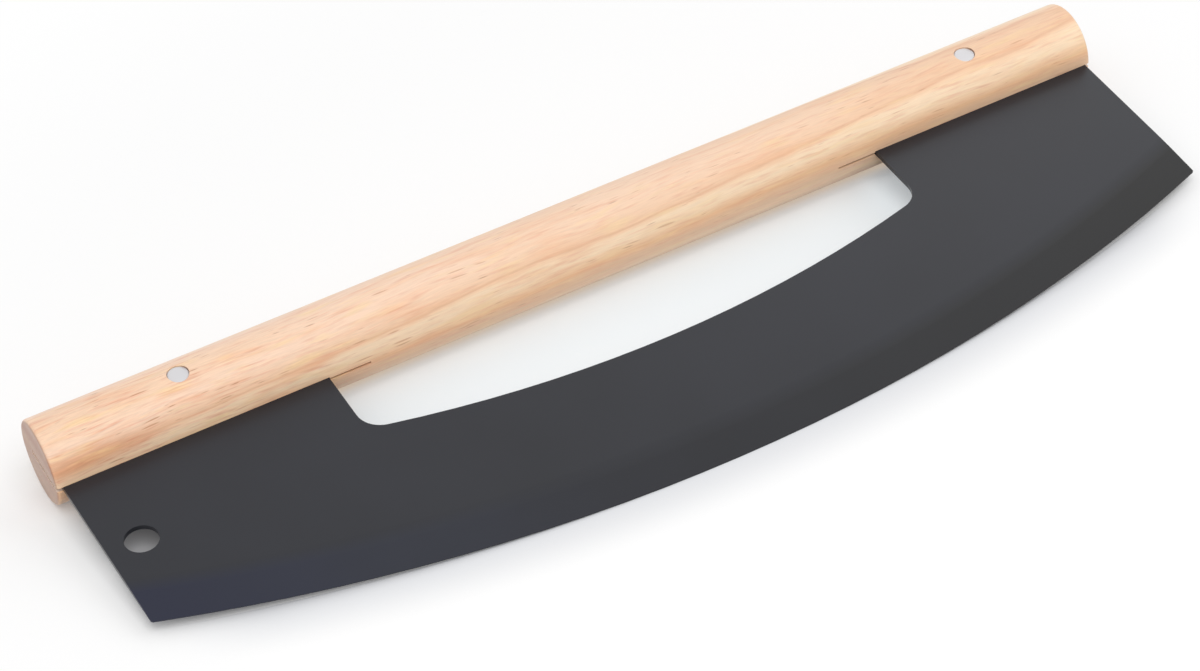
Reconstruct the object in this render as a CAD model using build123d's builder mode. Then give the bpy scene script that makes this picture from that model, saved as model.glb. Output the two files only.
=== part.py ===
from build123d import *
import os
from math import asin, atan2, cos, hypot, sin, sqrt

os.makedirs("parts", exist_ok=True)

# Rocking pizza knife, lying on a table as it rests: the round handle and the middle of the
# cutting edge touch the table. +Z is up, X runs along the handle with the hang hole at -X, and
# the blade points to -Y. The origin is at the middle of the bottom of the whole knife.

# Handle: a plain dowel
handle_length = 350
handle_diameter = 26
handle_end_round = 1

# Blade: one sheet with two tangs, measured across from the handle's axis
blade_thickness = 1.5
tang_inset = 1.5
left_tang_width = 82.9
right_tang_width = 78.1
tang_past_axis = 5
tang_corner_round = 5
tip_inset = 2.9
tip_drop = 70.5
tip_round = 1
edge_drop = 100.4
edge_thickness = 0.3
bevel_width = 13.5
bevel_blend = 2.5  # to each side of the bevel's top, where it runs softly into the flat

# Finger gap between the tangs
gap_corner_drop = 36.8
gap_middle_drop = 49.4
gap_corner_round = 8

# Hang hole, measured from the tang's end and from the handle's axis
hang_hole_diameter = 10
hang_hole_inset = 11.3
hang_hole_drop = 42.1

# Slots in the handle for the tangs. A thinner saw cut, made by a round cutter, runs on past
# each tang towards the middle
slot_side_clearance = 0.05
slot_floor_clearance = 0.2
slot_end_clearance = 0.2
kerf_width = 0.7
kerf_cutter_radius = 20
kerf_run_out = 13.4

# Rivets: a tube half and a pin half, each with a flat head in a counterbore. The insets are
# measured from the tangs' ends
left_rivet_inset = 42.65
right_rivet_inset = 37.85
rivet_drop = 0.5
head_diameter = 6.3
head_thickness = 1.2
head_recess = 0.5
head_edge_round = 0.2
head_clearance = 0.1
tube_diameter = 5
tube_clearance = 0.1
tube_end_gap = 0.8
pin_diameter = 3
pin_clearance = 0.02
pin_past_blade = 5
pin_end_gap = 1

# What cuts run past the material
overrun = 5

# How the knife lies: the lower corner of the edge's middle comes down to the table
handle_radius = handle_diameter / 2
half_edge = edge_thickness / 2
tilt = asin(handle_radius / hypot(edge_drop, half_edge)) - atan2(half_edge, edge_drop)
reach = edge_drop * cos(tilt) + half_edge * sin(tilt)
axis_y = (reach - handle_radius) / 2
blade_plane = Plane(
    origin=(0, axis_y, handle_radius), x_dir=(1, 0, 0), z_dir=(0, -sin(tilt), cos(tilt))
)
blade_normal = Axis(blade_plane.origin, blade_plane.z_dir)

# Outline of the blade
half_thickness = blade_thickness / 2
tang_end = handle_length / 2 - tang_inset
tip_end = handle_length / 2 - tip_inset
gap_left = left_tang_width - tang_end
gap_right = tang_end - right_tang_width
gap_middle = (gap_left + gap_right) / 2
hang_hole_place = (hang_hole_inset - tang_end, -hang_hole_drop)

# Circle of the cutting edge, from its two tips and its lowest point
edge_sag = edge_drop - tip_drop
edge_radius = (tip_end**2 + edge_sag**2) / (2 * edge_sag)

# Ground bevel, seen square to the edge: where its soft curve leaves the flat and joins the slope
bevel_angle = atan2(half_thickness - half_edge, bevel_width)
blend_start = (edge_radius - bevel_width - bevel_blend, half_thickness)
blend_end = (
    edge_radius - bevel_width + bevel_blend * cos(bevel_angle),
    half_thickness - bevel_blend * sin(bevel_angle),
)

# Slots and rivets
slot_floor = tang_past_axis + slot_floor_clearance
slot_depth = handle_radius + slot_floor
slot_half_width = half_thickness + slot_side_clearance
cutter_half_chord = sqrt(kerf_cutter_radius**2 - (kerf_cutter_radius - slot_depth) ** 2)
rivet_places = [
    (left_rivet_inset - tang_end, -rivet_drop),
    (tang_end - right_rivet_inset, -rivet_drop),
]
rivet_hole_radius = tube_diameter / 2 + tube_clearance
head_seat = handle_radius - head_recess - head_thickness

# Handle
with BuildPart() as handle:
    end_plane = Plane(
        origin=(-handle_length / 2, axis_y, handle_radius), x_dir=(0, 1, 0), z_dir=(1, 0, 0)
    )
    with BuildSketch(end_plane):
        Circle(handle_radius)
    extrude(amount=handle_length)
    fillet(handle.edges().filter_by(GeomType.CIRCLE), radius=handle_end_round)
    past_side = -handle_radius - overrun
    with BuildSketch(blade_plane):
        for side, gap_edge in ((-1, gap_left), (1, gap_right)):
            past_end = side * (handle_length / 2 + overrun)
            past_tang = gap_edge - side * slot_end_clearance
            Polygon(
                (past_tang, slot_floor),
                (past_end, slot_floor),
                (past_end, past_side),
                (past_tang, past_side),
                align=None,
            )
    extrude(amount=slot_half_width, both=True, mode=Mode.SUBTRACT)
    with BuildSketch(blade_plane):
        for side, gap_edge in ((-1, gap_left), (1, gap_right)):
            cutter_x = gap_edge + side * (cutter_half_chord - kerf_run_out)
            with Locations((cutter_x, slot_floor - kerf_cutter_radius)):
                Circle(kerf_cutter_radius)
    extrude(amount=kerf_width / 2, both=True, mode=Mode.SUBTRACT)
    with BuildSketch(blade_plane):
        with Locations(*rivet_places):
            Circle(rivet_hole_radius)
    extrude(amount=handle_radius + overrun, both=True, mode=Mode.SUBTRACT)
    for side in (-1, 1):
        with BuildSketch(blade_plane.offset(side * head_seat)):
            with Locations(*rivet_places):
                Circle(head_diameter / 2 + head_clearance)
        extrude(amount=side * (handle_radius + overrun - head_seat), mode=Mode.SUBTRACT)
handle.part.label = "handle"
export_step(handle.part, "parts/handle.step")

# Blade
with BuildPart() as blade:
    with BuildSketch(blade_plane) as outline:
        with BuildLine():
            ThreePointArc((-tip_end, -tip_drop), (0, -edge_drop), (tip_end, -tip_drop))
            Polyline(
                (tip_end, -tip_drop),
                (tang_end, tang_past_axis),
                (gap_right, tang_past_axis),
                (gap_right, -gap_corner_drop),
            )
            ThreePointArc(
                (gap_right, -gap_corner_drop),
                (gap_middle, -gap_middle_drop),
                (gap_left, -gap_corner_drop),
            )
            Polyline(
                (gap_left, -gap_corner_drop),
                (gap_left, tang_past_axis),
                (-tang_end, tang_past_axis),
                (-tip_end, -tip_drop),
            )
        make_face()
        fillet(outline.vertices().group_by(Axis.Y)[-1], radius=tang_corner_round)
        fillet(outline.vertices().group_by(Axis.Y)[1], radius=gap_corner_round)
        fillet(outline.vertices().group_by(Axis.Y)[0], radius=tip_round)
        with Locations(hang_hole_place):
            Circle(hang_hole_diameter / 2, mode=Mode.SUBTRACT)
        with Locations(*rivet_places):
            Circle(rivet_hole_radius, mode=Mode.SUBTRACT)
    extrude(amount=half_thickness, both=True)
    # Ground bevel on both faces, turned about the centre of the cutting edge's circle
    edge_center = blade_plane.from_local_coords((0, edge_radius - edge_drop))
    radial_plane = Plane(
        origin=edge_center, x_dir=-blade_plane.y_dir, z_dir=-blade_plane.x_dir
    )
    with BuildSketch(radial_plane):
        with BuildLine():
            TangentArc(blend_start, blend_end, tangent=(1, 0))
            Polyline(
                blend_end,
                (edge_radius, half_edge),
                (edge_radius + overrun, half_edge),
                (edge_radius + overrun, half_thickness + overrun),
                (blend_start[0], half_thickness + overrun),
                blend_start,
            )
        make_face()
        mirror(about=Plane.XZ)
    revolve(axis=Axis(edge_center, blade_plane.z_dir), mode=Mode.SUBTRACT)
blade.part.label = "blade"
export_step(blade.part, "parts/blade.step")

# Rivets, one through each tang
for name, place in zip(("left", "right"), rivet_places):
    tube_length = 2 * head_seat - tube_end_gap
    bore_depth = head_seat - tube_end_gap + pin_past_blade + pin_end_gap
    with BuildPart() as tube:
        with BuildSketch(blade_plane.offset(head_seat)):
            with Locations(place):
                Circle(head_diameter / 2)
        extrude(amount=head_thickness)
        fillet(tube.faces().sort_by(blade_normal)[-1].edges(), radius=head_edge_round)
        with BuildSketch(blade_plane.offset(head_seat)):
            with Locations(place):
                Circle(tube_diameter / 2)
        extrude(amount=-tube_length)
        with BuildSketch(blade_plane.offset(head_seat - tube_length)):
            with Locations(place):
                Circle(pin_diameter / 2 + pin_clearance)
        extrude(amount=bore_depth, mode=Mode.SUBTRACT)
    tube.part.label = f"rivet_tube_{name}"
    export_step(tube.part, f"parts/rivet_tube_{name}.step")

    with BuildPart() as pin:
        with BuildSketch(blade_plane.offset(-head_seat)):
            with Locations(place):
                Circle(head_diameter / 2)
        extrude(amount=-head_thickness)
        fillet(pin.faces().sort_by(blade_normal)[0].edges(), radius=head_edge_round)
        with BuildSketch(blade_plane.offset(-head_seat)):
            with Locations(place):
                Circle(pin_diameter / 2)
        extrude(amount=head_seat + pin_past_blade)
    pin.part.label = f"rivet_pin_{name}"
    export_step(pin.part, f"parts/rivet_pin_{name}.step")
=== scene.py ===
import bpy
import math
from mathutils import Matrix, Vector


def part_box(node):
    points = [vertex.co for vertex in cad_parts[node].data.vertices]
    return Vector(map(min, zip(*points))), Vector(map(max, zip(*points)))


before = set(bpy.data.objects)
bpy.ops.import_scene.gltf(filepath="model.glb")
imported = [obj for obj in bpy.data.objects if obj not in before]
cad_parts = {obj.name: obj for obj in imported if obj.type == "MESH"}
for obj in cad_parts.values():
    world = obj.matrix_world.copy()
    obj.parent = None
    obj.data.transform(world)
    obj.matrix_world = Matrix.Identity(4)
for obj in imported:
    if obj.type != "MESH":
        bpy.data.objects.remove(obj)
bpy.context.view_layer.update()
print("frame loaded:", ", ".join(sorted(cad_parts)))

mm = 0.001  # metres in a millimetre


def linear(hexColour):
    # sRGB hex to the linear colour that a socket takes
    parts = [int(hexColour[i:i + 2], 16) / 255 for i in (1, 3, 5)]
    return [p / 12.92 if p <= 0.04045 else ((p + 0.055) / 1.055) ** 2.4 for p in parts] + [1.0]


def addNode(tree, kind, settings, links=()):
    # settings: a property, or an input by name or number; links: (input, node, output)
    node = tree.nodes.new(kind)
    for name, value in settings.items():
        if isinstance(name, str) and hasattr(node, name):
            setattr(node, name, value)
        else:
            node.inputs[name].default_value = value
    for socket, source, output in links:
        tree.links.new(source.outputs[output], node.inputs[socket])
    return node


def tonesAlong(tree, source, output, stops):
    # tones along a value, from (value, tone) stops
    low, high = stops[0][0], stops[-1][0]
    share = addNode(tree, "ShaderNodeMapRange", {"From Min": low, "From Max": high},
                    [("Value", source, output)])
    made = addNode(tree, "ShaderNodeValToRGB", {}, [(0, share, 0)])
    elements = made.color_ramp.elements
    while len(elements) < len(stops):  # all are made before one is moved
        elements.new(0.5)
    for element, (value, tone) in zip(elements, stops):
        element.position = (value - low) / (high - low)
    for element, (value, tone) in zip(elements, stops):
        element.color = linear(tone)
    return made


def layTones(tree, colour, tones):
    # lays tones over a colour one after another, from (mask, tone) pairs. A colour is a node and
    # the number of its output
    for mask, tone in tones:
        mixed = addNode(tree, "ShaderNodeMix", {"data_type": "RGBA", 7: linear(tone)},
                        [(0, mask, 0), (6, *colour)])
        colour = (mixed, 2)
    return colour


def inMillimetres(tree):
    # where a point lies in the frame, in mm
    place = addNode(tree, "ShaderNodeTexCoord", {})
    return addNode(tree, "ShaderNodeMapping", {"Scale": (1 / mm,) * 3},
                   [("Vector", place, "Object")])


def fineRelief(tree, inMm, look):
    # small bumps from look: mm from one to the next, strength and depth in mm
    noise = addNode(tree, "ShaderNodeTexNoise", {"Scale": 1 / look["size"], "Detail": 2.0},
                    [("Vector", inMm, 0)])
    return addNode(tree, "ShaderNodeBump", {
        "Strength": look["strength"], "Distance": look["depth"] * mm}, [("Height", noise, "Fac")])


def slopeOf(nodeName):
    # angle by which a flat node slopes down towards the front, from its box
    low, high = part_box(nodeName)
    return math.asin((high.z - low.z) / (high.y - low.y))


def direction(azimuth, elevation):
    # from the knife, with the azimuth from straight in front of the blade
    azimuth, elevation = math.radians(azimuth), math.radians(elevation)
    return Vector((
        math.sin(azimuth) * math.cos(elevation),
        -math.cos(azimuth) * math.cos(elevation),
        math.sin(elevation),
    ))


def newMaterial(name):
    made = bpy.data.materials.new(name)
    made.use_nodes = True
    made.node_tree.nodes.clear()
    return made, made.node_tree


def addObject(name, data):
    made = bpy.data.objects.new(name, data)
    bpy.context.scene.collection.objects.link(made)
    return made


def dress(nodeName, made):
    # puts a material on a CAD node, whose shape stays as it is
    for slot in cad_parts[nodeName].material_slots:
        slot.material = made


# Camera: where the photograph was taken from, found from the knife's outlines in it
cameraView = {
    "azimuth": -24.871,  # degrees, 0 straight in front of the blade, below 0 by the hang hole
    "elevation": 37.692,
    "roll": -7.049,
    "distance": 971.9 * mm,
    "aim": (-11.207 * mm, 15.135 * mm, 0.0),
    "focalPixels": 3315.6,
    "photoWidth": 1200,
    "sensorWidth": 36.0,
    "clip": (0.01, 50.0),  # metres
}


def placeCamera(view):
    azimuth, roll = math.radians(view["azimuth"]), math.radians(view["roll"])
    back = direction(view["azimuth"], view["elevation"])
    level = Vector((math.cos(azimuth), math.sin(azimuth), 0))
    rise = back.cross(level)
    right = level * math.cos(roll) + rise * math.sin(roll)
    up = rise * math.cos(roll) - level * math.sin(roll)
    turn = Matrix((right, up, back)).transposed().to_4x4()
    data = bpy.data.cameras.new("camera")
    data.sensor_fit = "HORIZONTAL"
    data.sensor_width = view["sensorWidth"]
    data.lens = view["focalPixels"] / view["photoWidth"] * view["sensorWidth"]
    data.clip_start, data.clip_end = view["clip"]
    made = addObject("camera", data)
    made.matrix_world = Matrix.Translation(Vector(view["aim"]) + back * view["distance"]) @ turn
    bpy.context.scene.camera = made


placeCamera(cameraView)
print("camera placed")

# Handle: rubberwood dowel, sanded and lightly oiled. Pale pink and straw-yellow layers climb
# slowly along it, with short pink-brown pores along the grain. The end faces are darker. Sizes
# are in mm along and across the grain, and places in mm from the middle of the handle
rubberwood = {
    # tones of the layers, by mm over the dark growth line
    "layers": [
        # the lowest tones lie on the handle's underside: the wood's own tan, darkened there as
        # painted shade
        (-26.0, "#d2a680"),
        (-20.5, "#dcb28b"),
        (-17.0, "#dfbb97"),
        (-13.5, "#f6d6b3"),
        (-10.5, "#eac4a1"),
        (-8.0, "#ecc29d"),
        (-6.2, "#f1c195"),
        (-4.6, "#f7d0a9"),
        (-3.0, "#fcdfbd"),
        (-1.0, "#fcdfbe"),
        (-0.2, "#f6cfab"),
        (0.1, "#e9ba97"),
        (0.5, "#f2c9a6"),
        (2.4, "#f5d1b3"),
        (4.2, "#f7d6bc"),
        (6.5, "#f6d4b6"),
    ],
    "lineLevel": 9.5,       # height of the growth line over the middle
    "lineRise": 0.0195,     # mm that the layers climb for each mm towards the right end
    "pith": (16.0, -78.0),  # the tree's middle, in Y and Z, round which the layers curve
    # waves in the grain, each with the mm by which it bends the grain
    "waves": [
        {"size": (75.0, 24.0), "bend": 3.4},
        {"size": (20.0, 6.0), "bend": 1.4},
    ],
    # stains, each between two levels of its noise
    "stains": [
        {"tone": "#f0b68c", "size": (24.0, 2.6), "levels": (0.5, 0.72), "share": 0.42, "seed": 3},
        {"tone": "#f8d6a3", "size": (17.0, 2.4), "levels": (0.54, 0.7), "share": 0.45, "seed": 4},
        {"tone": "#e7a989", "size": (11.0, 0.85), "levels": (0.52, 0.74), "share": 0.5, "seed": 5},
    ],
    # pores, one to a cell: size of the cells, share of them without one, and half of the widest
    # pore as a share of its cell. The widest are 0.5 mm wide and 7 mm long
    "pores": [
        {"tone": "#cb916d", "size": (11.0, 0.85), "empty": 0.1, "widest": 0.32, "share": 0.5},
        {"tone": "#b47c5a", "size": (9.0, 0.95), "empty": 0.45, "widest": 0.26, "share": 0.5},
    ],
    "poreRim": (-0.04, 0.1),  # shares of a cell, from outside to inside, over which a pore darkens
    "clusters": {"size": (30.0, 4.0), "levels": (0.36, 0.6)},  # of pores
    # ten times as wide as a real fibre, so that it shows
    "fibre": {"size": (6.0, 0.42), "levels": (0.3, 0.7), "shade": (0.95, 1.045)},
    # towards the left end the wood is a little browner, and its stains and pores show more
    "leftEnd": {"reach": (-20.0, -150.0), "tint": (1.0, 0.97, 0.955), "contrast": 1.55},
    # a brown patch there: its place along the handle and over the growth line, and its size
    "patch": {"tone": "#dfa47c", "place": (-164.0, 0.3), "size": (32.0, 4.8), "share": 0.65},
    # end faces: the tint comes up as a surface is turned towards the handle's end
    "endFace": {"tint": (0.56, 0.475, 0.46), "turned": (0.6, 0.95)},
    # unoiled walls of slots and bores: painted shade near the blade's plane, and pale elsewhere,
    # their own tone lifted by painted light near the handle's ends and round the rivets' heads
    "sawn": {
        "radius": (12.2, 12.6),  # mm from the handle's axis, over which they end
        "pale": "#f3dccb",
        "shady": "#6b4a36",
        "shadyReach": 166.0,     # mm to each side of the handle's middle
        "shadyHeight": 2.0,      # mm over and under the blade's plane
    },
    "relief": {"pores": -1.5, "strength": 0.3, "depth": 0.03},  # pores dip between the fibres
    "roughness": 0.5,
    "ior": 1.5,
    "sheen": 0.35,
}


def grainPattern(tree, kind, settings, grain, size):
    # a pattern that is drawn out along the handle
    along, across = size
    drawnOut = addNode(tree, "ShaderNodeVectorMath", {
        "operation": "MULTIPLY", 1: (1 / along, 1 / across, 1 / across)}, [(0, grain, 0)])
    return addNode(tree, kind, {"Scale": 1.0, **settings}, [("Vector", drawnOut, 0)])


def offAxis(tree, source):
    # distance from the line along X through the middle of the coordinates
    flat = addNode(tree, "ShaderNodeVectorMath", {"operation": "MULTIPLY", 1: (0.0, 1.0, 1.0)},
                   [(0, source, 0)])
    return addNode(tree, "ShaderNodeVectorMath", {"operation": "LENGTH"}, [(0, flat, 0)])


def bendGrain(tree, look, grain):
    # moves the grain up, down and sideways
    for wave in look["waves"]:
        noise = grainPattern(tree, "ShaderNodeTexNoise", {"Detail": 1.0}, grain, wave["size"])
        bend = wave["bend"]
        shift = addNode(tree, "ShaderNodeVectorMath", {
            "operation": "MULTIPLY_ADD", 1: (0.0, bend, bend), 2: (0.0, -bend / 2, -bend / 2)},
            [(0, noise, "Color")])
        grain = addNode(tree, "ShaderNodeVectorMath", {"operation": "ADD"},
                        [(0, grain, 0), (1, shift, 0)])
    return grain


def overGrowthLine(tree, look, grain, parts):
    # mm over the growth line, measured from the pith
    fromPith = addNode(tree, "ShaderNodeVectorMath", {
        "operation": "SUBTRACT", 1: (0.0, *look["pith"])}, [(0, grain, 0)])
    climb = addNode(tree, "ShaderNodeMath", {
        "operation": "MULTIPLY_ADD", 1: -look["lineRise"],
        2: -math.hypot(*look["pith"]) - look["lineLevel"]}, [(0, parts, "X")])
    return addNode(tree, "ShaderNodeMath", {"operation": "ADD"},
                   [(0, offAxis(tree, fromPith), "Value"), (1, climb, 0)])


def patchMask(tree, patch, parts, level):
    spot = addNode(tree, "ShaderNodeCombineXYZ", {}, [("X", parts, "X"), ("Y", level, 0)])
    fromPatch = addNode(tree, "ShaderNodeVectorMath", {
        "operation": "MULTIPLY_ADD", 1: tuple(1 / v for v in patch["size"]) + (0.0,),
        2: tuple(-v / w for v, w in zip(patch["place"], patch["size"])) + (0.0,)}, [(0, spot, 0)])
    reach = addNode(tree, "ShaderNodeVectorMath", {"operation": "LENGTH"}, [(0, fromPatch, 0)])
    return addNode(tree, "ShaderNodeMapRange", {
        "interpolation_type": "SMOOTHSTEP", "From Max": 1.0, "To Min": patch["share"],
        "To Max": 0.0}, [("Value", reach, "Value")])


def stainMask(tree, stain, grain):
    low, high = stain["levels"]
    noise = grainPattern(tree, "ShaderNodeTexNoise", {
        "noise_dimensions": "4D", "W": stain["seed"], "Detail": 2.0}, grain, stain["size"])
    return addNode(tree, "ShaderNodeMapRange", {
        "From Min": low, "From Max": high, "To Max": stain["share"]}, [("Value", noise, "Fac")])


def poreMasks(tree, look, grain):
    # pores lie in clusters
    clusters, rim = look["clusters"], look["poreRim"]
    noise = grainPattern(tree, "ShaderNodeTexNoise", {"Detail": 2.0}, grain, clusters["size"])
    crowded = addNode(tree, "ShaderNodeMapRange", {
        "From Min": clusters["levels"][0], "From Max": clusters["levels"][1]},
        [("Value", noise, "Fac")])
    masks = []
    for pore in look["pores"]:
        cells = grainPattern(tree, "ShaderNodeTexVoronoi", {"Randomness": 1.0}, grain,
                             pore["size"])
        pick = addNode(tree, "ShaderNodeSeparateColor", {}, [("Color", cells, "Color")])
        width = addNode(tree, "ShaderNodeMapRange", {
            "From Min": pore["empty"], "From Max": 1.0, "To Max": pore["widest"]},
            [("Value", pick, "Red")])
        clustered = addNode(tree, "ShaderNodeMath", {"operation": "MULTIPLY"},
                            [(0, width, 0), (1, crowded, 0)])
        inside = addNode(tree, "ShaderNodeMath", {"operation": "SUBTRACT"},
                         [(0, clustered, 0), (1, cells, "Distance")])
        masks.append(addNode(tree, "ShaderNodeMapRange", {
            "From Min": rim[0], "From Max": rim[1], "To Max": pore["share"]},
            [("Value", inside, 0)]))
    return masks


def sawnWalls(tree, sawn, fromMiddle, parts, turned, mostTurned):
    # mask and tone of the walls of slots and bores, which lie inside the dowel's round
    inner, outer = sawn["radius"]
    mask = addNode(tree, "ShaderNodeMapRange", {"From Min": outer, "From Max": inner},
                   [("Value", offAxis(tree, fromMiddle), "Value")])
    sideOn = addNode(tree, "ShaderNodeMath", {"operation": "LESS_THAN", 1: mostTurned},
                     [(0, turned, 0)])
    walls = addNode(tree, "ShaderNodeMath", {"operation": "MULTIPLY"},
                    [(0, mask, 0), (1, sideOn, 0)])
    slope = slopeOf("blade")
    height = addNode(tree, "ShaderNodeVectorMath", {
        "operation": "DOT_PRODUCT", 1: (0.0, -math.sin(slope), math.cos(slope))},
        [(0, fromMiddle, 0)])
    within = []
    for source, output, limit in ((parts, "X", sawn["shadyReach"]),
                                  (height, "Value", sawn["shadyHeight"])):
        apart = addNode(tree, "ShaderNodeMath", {"operation": "ABSOLUTE"}, [(0, source, output)])
        within.append(addNode(tree, "ShaderNodeMath", {"operation": "LESS_THAN", 1: limit},
                              [(0, apart, 0)]))
    shady = addNode(tree, "ShaderNodeMath", {"operation": "MULTIPLY"},
                    [(0, within[0], 0), (1, within[1], 0)])
    # painted shade near the blade's plane, and painted light on the pale walls elsewhere
    tone = addNode(tree, "ShaderNodeMix", {
        "data_type": "RGBA", 6: linear(sawn["pale"]), 7: linear(sawn["shady"])}, [(0, shady, 0)])
    return walls, tone


def makeRubberwood(look):
    made, tree = newMaterial("rubberwoodOiled")
    low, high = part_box("handle")
    place = addNode(tree, "ShaderNodeTexCoord", {})
    fromMiddle = addNode(tree, "ShaderNodeVectorMath", {
        "operation": "MULTIPLY_ADD", 1: (1 / mm,) * 3,
        2: tuple(-v / mm for v in (low + high) / 2)}, [(0, place, "Object")])
    grain = bendGrain(tree, look, fromMiddle)
    parts = addNode(tree, "ShaderNodeSeparateXYZ", {}, [(0, grain, 0)])
    level = overGrowthLine(tree, look, grain, parts)

    # the lowest layer tones carry painted shade on the handle's underside
    layers = tonesAlong(tree, level, 0, look["layers"])
    patch, stains = look["patch"], look["stains"]
    pores = poreMasks(tree, look, grain)
    wood = layTones(tree, (layers, 0), [
        (patchMask(tree, patch, parts, level), patch["tone"]),
        *((stainMask(tree, stain, grain), stain["tone"]) for stain in stains),
        *((mask, pore["tone"]) for mask, pore in zip(pores, look["pores"])),
    ])
    fibre = look["fibre"]
    fibres = grainPattern(tree, "ShaderNodeTexNoise", {"Detail": 3.0, "Roughness": 0.65}, grain,
                          fibre["size"])
    shade = addNode(tree, "ShaderNodeMapRange", {
        "From Min": fibre["levels"][0], "From Max": fibre["levels"][1],
        "To Min": fibre["shade"][0], "To Max": fibre["shade"][1]}, [("Value", fibres, "Fac")])
    plain = addNode(tree, "ShaderNodeVectorMath", {"operation": "SCALE"},
                    [(0, *wood), ("Scale", shade, 0)])

    leftEnd = look["leftEnd"]
    leftness = addNode(tree, "ShaderNodeMapRange", {
        "From Min": leftEnd["reach"][0], "From Max": leftEnd["reach"][1]}, [("Value", parts, "X")])
    contrast = addNode(tree, "ShaderNodeMapRange", {"To Min": 1.0, "To Max": leftEnd["contrast"]},
                       [("Value", leftness, 0)])
    stronger = addNode(tree, "ShaderNodeMix", {"data_type": "RGBA", "clamp_factor": False},
                       [(0, contrast, 0), (6, layers, 0), (7, plain, 0)])
    browner = addNode(tree, "ShaderNodeVectorMath", {
        "operation": "MULTIPLY", 1: leftEnd["tint"]}, [(0, stronger, 2)])
    side = addNode(tree, "ShaderNodeMix", {"data_type": "RGBA"},
                   [(0, leftness, 0), (6, stronger, 2), (7, browner, 0)])

    # end faces drink the oil and turn darker
    endFace = look["endFace"]
    normal = addNode(tree, "ShaderNodeSeparateXYZ", {}, [(0, place, "Normal")])
    turned = addNode(tree, "ShaderNodeMath", {"operation": "ABSOLUTE"}, [(0, normal, "X")])
    endMask = addNode(tree, "ShaderNodeMapRange", {
        "From Min": endFace["turned"][0], "From Max": endFace["turned"][1]},
        [("Value", turned, 0)])
    darker = addNode(tree, "ShaderNodeVectorMath", {"operation": "MULTIPLY", 1: endFace["tint"]},
                     [(0, side, 2)])
    outside = addNode(tree, "ShaderNodeMix", {"data_type": "RGBA"},
                      [(0, endMask, 0), (6, side, 2), (7, darker, 0)])
    walls, wallTone = sawnWalls(tree, look["sawn"], fromMiddle, parts, turned,
                                endFace["turned"][0])
    colour = addNode(tree, "ShaderNodeMix", {"data_type": "RGBA"},
                     [(0, walls, 0), (6, outside, 2), (7, wallTone, 2)])

    relief = look["relief"]
    poreDepth = pores[0]
    for mask in pores[1:]:
        poreDepth = addNode(tree, "ShaderNodeMath", {"operation": "ADD"},
                            [(0, poreDepth, 0), (1, mask, 0)])
    height = addNode(tree, "ShaderNodeMath", {"operation": "MULTIPLY_ADD", 1: relief["pores"]},
                     [(0, poreDepth, 0), (2, fibres, "Fac")])
    bump = addNode(tree, "ShaderNodeBump", {
        "Strength": relief["strength"], "Distance": relief["depth"] * mm},
        [("Height", height, 0)])
    shader = addNode(tree, "ShaderNodeBsdfPrincipled", {
        "Roughness": look["roughness"], "IOR": look["ior"], "Sheen Weight": look["sheen"]},
        [("Base Color", colour, 2), ("Normal", bump, 0)])
    addNode(tree, "ShaderNodeOutputMaterial", {}, [("Surface", shader, 0)])
    return made


dress("handle", makeRubberwood(rubberwood))
print("handle dressed")

# Blade: stainless steel with a matte black non-stick coat, sprayed and baked. It is charcoal
# grey with a soft sheen, and the ground bevel is darker with painted shade and reflection
blackCoat = {
    "face": "#1a1c24",
    # painted shade and reflection on the bevel, by mm from the blade's middle: bluish to the left,
    # near black to the right
    "bevel": [
        (-165.0, "#10152d"),
        (-105.0, "#1b1f2d"),
        (-40.0, "#14161f"),
        (60.0, "#0e0f14"),
        (150.0, "#030305"),
    ],
    "bevelWidth": (11.0, 15.5),  # mm in from the edge, over which it runs into the face
    "edgeRadius": 510.24,        # mm, of the cutting edge's curve
    # drift of the tone and of the roughness across the blade: mm from cloud to cloud, levels of
    # the noise, and how far each drifts
    "cloud": {"size": 40.0, "levels": (0.3, 0.7), "tone": 0.12, "roughness": 0.03},
    "roughness": 0.3,
    "ior": 1.45,
    # orange peel of the sprayed coat, drawn coarse enough to show
    "peel": {"size": 0.25, "strength": 0.12, "depth": 0.01},
}


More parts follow.
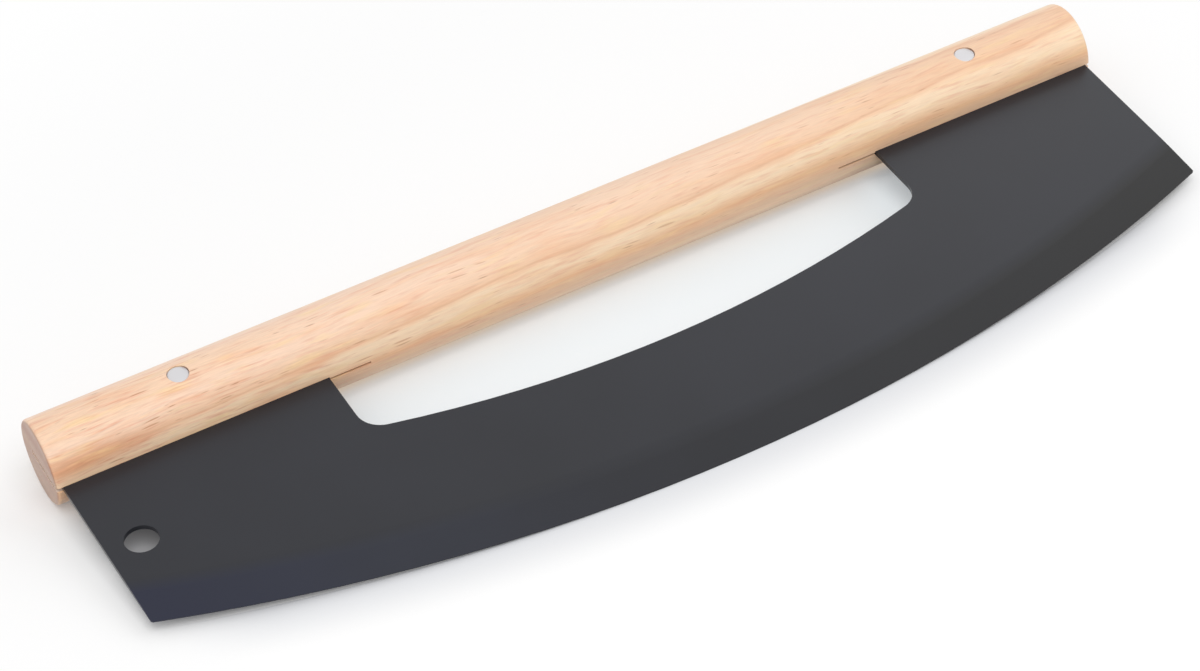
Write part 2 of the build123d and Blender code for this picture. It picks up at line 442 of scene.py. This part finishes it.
def makeBlackCoat(look):
    made, tree = newMaterial("blackNonStickCoat")
    inMm = inMillimetres(tree)
    # distance in from the cutting edge, whose middle is the blade's lowest and foremost point
    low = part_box("blade")[0]
    radius, slope = look["edgeRadius"], slopeOf("blade")
    edge = Vector((0, low.y, low.z)) / mm
    centre = edge + radius * Vector((0, math.cos(slope), math.sin(slope)))
    reach = addNode(tree, "ShaderNodeVectorMath", {"operation": "DISTANCE", 1: tuple(centre)},
                    [(0, inMm, 0)])
    # the bevel's darker tones are painted shade and reflection
    bevelMask = addNode(tree, "ShaderNodeMapRange", {
        "From Min": radius - look["bevelWidth"][1], "From Max": radius - look["bevelWidth"][0]},
        [("Value", reach, "Value")])
    parts = addNode(tree, "ShaderNodeSeparateXYZ", {}, [(0, inMm, 0)])
    tone = addNode(tree, "ShaderNodeMix", {"data_type": "RGBA", 6: linear(look["face"])},
                   [(0, bevelMask, 0), (7, tonesAlong(tree, parts, "X", look["bevel"]), 0)])
    cloud = look["cloud"]
    clouds = addNode(tree, "ShaderNodeTexNoise", {"Scale": 1 / cloud["size"], "Detail": 4.0},
                     [("Vector", inMm, 0)])
    drift = addNode(tree, "ShaderNodeMapRange", {
        "From Min": cloud["levels"][0], "From Max": cloud["levels"][1],
        "To Min": 1 - cloud["tone"], "To Max": 1 + cloud["tone"]}, [("Value", clouds, "Fac")])
    colour = addNode(tree, "ShaderNodeVectorMath", {"operation": "SCALE"},
                     [(0, tone, 2), ("Scale", drift, 0)])
    rough = addNode(tree, "ShaderNodeMapRange", {
        "To Min": look["roughness"] - cloud["roughness"],
        "To Max": look["roughness"] + cloud["roughness"]}, [("Value", clouds, "Fac")])
    shader = addNode(tree, "ShaderNodeBsdfPrincipled", {"IOR": look["ior"]}, [
        ("Base Color", colour, 0), ("Roughness", rough, 0),
        ("Normal", fineRelief(tree, inMm, look["peel"]), 0)])
    addNode(tree, "ShaderNodeOutputMaterial", {}, [("Surface", shader, 0)])
    return made


dress("blade", makeBlackCoat(blackCoat))
print("blade dressed")

# Rivets: aluminium, their faces turned flat. Light grey and satin
aluminium = {
    "face": "#d1d0d2",
    "roughness": 0.62,
    # turning marks, drawn coarse enough to show
    "marks": {"size": 0.18, "strength": 0.2, "depth": 0.01},
}


def makeAluminium(look):
    made, tree = newMaterial("turnedAluminium")
    marks = fineRelief(tree, inMillimetres(tree), look["marks"])
    shader = addNode(tree, "ShaderNodeBsdfPrincipled", {
        "Base Color": linear(look["face"]), "Metallic": 1.0, "Roughness": look["roughness"]},
        [("Normal", marks, 0)])
    addNode(tree, "ShaderNodeOutputMaterial", {}, [("Surface", shader, 0)])
    return made


rivetMetal = makeAluminium(aluminium)
for nodeName in sorted(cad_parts):
    if nodeName.startswith("rivet"):
        dress(nodeName, rivetMetal)
print("rivets dressed")

# A pale studio: white floor that fades into the background, a white sky and three softboxes
studio = {
    "floorSize": 6.0,          # metres
    "floorColour": "#e8e8e8",  # as it lights the knife
    # as the camera sees it, with the mm over which each tone fades: cool in front of the handle
    # against the wood's warm light, and shaded under the hang hole and in front of the cutting
    # edge, where the shade also runs in under the edge by its overlap
    "floorCool": {"tone": "#f3fafe", "reach": (13.0, 75.0)},
    "floorShade": {"tone": "#e3e4e7", "reach": (-2.0, 20.0), "overlap": 1.0},
    "holeShade": {"tone": "#b9b9bb", "place": (-158.0, 10.0), "reach": (8.0, 14.0)},
    # painted light: a share of the floor's white that shadows don't reach. There is more of it
    # under the handle's front, warm as painted bounce light from the wood, and beside the right
    # tang
    "floorPaintedLight": 0.1,
    "nearPaintedLight": {"tone": "#ffead2", "add": 0.36, "reach": (4.4, 10.5)},
    "tangPaintedLight": {"add": 0.3, "place": (101.0, 20.0), "reach": (9.0, 20.0)},
    "handleShare": 0.8,         # of the handle's half length, from which its tones fade sideways
    "floorFade": (0.15, 0.32),  # metres from the knife over which the floor turns plain white
    "skyLevel": 0.62,
    # in metres and degrees. A lamp of level 1 lights what faces it as a white sky would
    "lamps": {
        "front": {"azimuth": -10, "elevation": 60, "distance": 2.2, "size": 1.6, "level": 0.42},
        "right": {"azimuth": 75, "elevation": 40, "distance": 2.2, "size": 1.4, "level": 0.09},
        "window": {"azimuth": 140, "elevation": 34, "distance": 2.2, "size": 1.0, "level": 0.05},
    },
}


def seenDirectly(tree):
    # 1 where the camera sees a surface straight, in a mirror or through glass
    path = addNode(tree, "ShaderNodeLightPath", {})
    mirrored = addNode(tree, "ShaderNodeMath", {"operation": "MAXIMUM"},
                       [(0, path, "Is Camera Ray"), (1, path, "Is Glossy Ray")])
    return addNode(tree, "ShaderNodeMath", {"operation": "MAXIMUM"},
                   [(0, mirrored, 0), (1, path, "Is Transmission Ray")])


def floorMasks(tree, look, place):
    # where each tone of the floor lies: 1 near its source and 0 past its reach
    parts = addNode(tree, "ShaderNodeSeparateXYZ", {}, [(0, place, "Object")])
    low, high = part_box("handle")
    fromAxis = addNode(tree, "ShaderNodeMath", {"operation": "SUBTRACT", 1: (low.y + high.y) / 2},
                       [(0, parts, "Y")])
    besideAxis = addNode(tree, "ShaderNodeMath", {"operation": "ABSOLUTE"}, [(0, fromAxis, 0)])
    inFront = addNode(tree, "ShaderNodeMath", {"operation": "LESS_THAN", 1: 0.0},
                      [(0, fromAxis, 0)])
    sideways = addNode(tree, "ShaderNodeMath", {"operation": "ABSOLUTE"}, [(0, parts, "X")])
    atHandle = addNode(tree, "ShaderNodeMapRange", {
        "interpolation_type": "SMOOTHSTEP", "From Min": high.x * look["handleShare"],
        "From Max": high.x, "To Min": 1.0, "To Max": 0.0}, [("Value", sideways, 0)])
    edgeRadius = blackCoat["edgeRadius"] * mm
    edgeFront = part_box("blade")[0].y
    fromEdge, fromHole, fromTang = [
        addNode(tree, "ShaderNodeVectorMath", {"operation": "DISTANCE", 1: (*point, 0.0)},
                [(0, place, "Object")])
        for point in ((0.0, edgeFront + edgeRadius),
                      [v * mm for v in look["holeShade"]["place"]],
                      [v * mm for v in look["tangPaintedLight"]["place"]])
    ]
    pastEdge = addNode(tree, "ShaderNodeMath", {
        "operation": "GREATER_THAN", 1: edgeRadius - look["floorShade"]["overlap"] * mm},
        [(0, fromEdge, "Value")])
    masks = {}
    for name, source, start, limits in (("floorCool", besideAxis, 0.0, (inFront, atHandle)),
                                        ("floorShade", fromEdge, edgeRadius, (pastEdge, atHandle)),
                                        ("holeShade", fromHole, 0.0, ()),
                                        ("nearPaintedLight", besideAxis, 0.0, (atHandle,)),
                                        ("tangPaintedLight", fromTang, 0.0, ())):
        first, last = look[name]["reach"]
        mask = addNode(tree, "ShaderNodeMapRange", {
            "interpolation_type": "SMOOTHSTEP", "From Min": start + first * mm,
            "From Max": start + last * mm, "To Min": 1.0, "To Max": 0.0},
            [("Value", source, "Value")])
        for limit in limits:
            mask = addNode(tree, "ShaderNodeMath", {"operation": "MULTIPLY"},
                           [(0, mask, 0), (1, limit, 0)])
        masks[name] = mask
    return masks


def makeFloor(look):
    half = look["floorSize"] / 2
    mesh = bpy.data.meshes.new("floor")
    mesh.from_pydata([(-half, -half, 0), (half, -half, 0), (half, half, 0), (-half, half, 0)],
                     [], [(0, 1, 2, 3)])
    floor = addObject("floor", mesh)
    made, tree = newMaterial("paleFloor")
    seen = seenDirectly(tree)
    place = addNode(tree, "ShaderNodeTexCoord", {})
    masks = floorMasks(tree, look, place)
    white = addNode(tree, "ShaderNodeRGB", {})
    white.outputs[0].default_value = linear("#ffffff")
    tone = layTones(tree, (white, 0), [
        (masks[name], look[name]["tone"]) for name in ("floorCool", "floorShade", "holeShade")])
    colour = addNode(tree, "ShaderNodeMix", {
        "data_type": "RGBA", 6: linear(look["floorColour"])}, [(0, seen, 0), (7, *tone)])
    diffuse = addNode(tree, "ShaderNodeBsdfDiffuse", {}, [("Color", colour, 2)])
    # painted light: what shadows don't reach is a glow of its own
    away = addNode(tree, "ShaderNodeVectorMath", {"operation": "LENGTH"}, [(0, place, "Object")])
    lift = addNode(tree, "ShaderNodeMapRange", {
        "interpolation_type": "SMOOTHSTEP", "From Min": look["floorFade"][0],
        "From Max": look["floorFade"][1], "To Min": look["floorPaintedLight"]}, [("Value", away, "Value")])
    # more painted light under the handle's front and beside the right tang
    for name in ("nearPaintedLight", "tangPaintedLight"):
        lift = addNode(tree, "ShaderNodeMath", {
            "operation": "MULTIPLY_ADD", 1: look[name]["add"]},
            [(0, masks[name], 0), (2, lift, 0)])
    share = addNode(tree, "ShaderNodeMath", {"operation": "MULTIPLY", "use_clamp": True},
                    [(0, lift, 0), (1, seen, 0)])
    # the glow is warm under the handle's front, as painted bounce light from the wood
    glowTone = layTones(tree, tone, [(masks["nearPaintedLight"], look["nearPaintedLight"]["tone"])])
    glow = addNode(tree, "ShaderNodeEmission", {"Strength": 1.0}, [("Color", *glowTone)])
    shader = addNode(tree, "ShaderNodeMixShader", {},
                     [(0, share, 0), (1, diffuse, 0), (2, glow, 0)])
    addNode(tree, "ShaderNodeOutputMaterial", {}, [("Surface", shader, 0)])
    mesh.materials.append(made)


def makeSky(look):
    world = bpy.data.worlds.new("studioSky")
    bpy.context.scene.world = world
    world.use_nodes = True
    tree = world.node_tree
    tree.nodes.clear()
    strength = addNode(tree, "ShaderNodeMapRange", {"To Min": look["skyLevel"]},
                       [("Value", seenDirectly(tree), 0)])
    sky = addNode(tree, "ShaderNodeBackground", {"Color": linear("#ffffff")},
                  [("Strength", strength, 0)])
    addNode(tree, "ShaderNodeOutputWorld", {}, [("Surface", sky, 0)])


def placeLamps(look):
    for name, lamp in look["lamps"].items():
        data = bpy.data.lights.new(name, "AREA")
        data.shape = "SQUARE"
        data.size = lamp["size"]
        data.energy = math.pi ** 2 * lamp["distance"] ** 2 * lamp["level"]
        made = addObject(name, data)
        made.location = lamp["distance"] * direction(lamp["azimuth"], lamp["elevation"])
        made.rotation_euler = (-made.location).to_track_quat("-Z", "Y").to_euler()


makeFloor(studio)
makeSky(studio)
placeLamps(studio)
bpy.context.scene.view_settings.view_transform = "Standard"
print("studio lit")
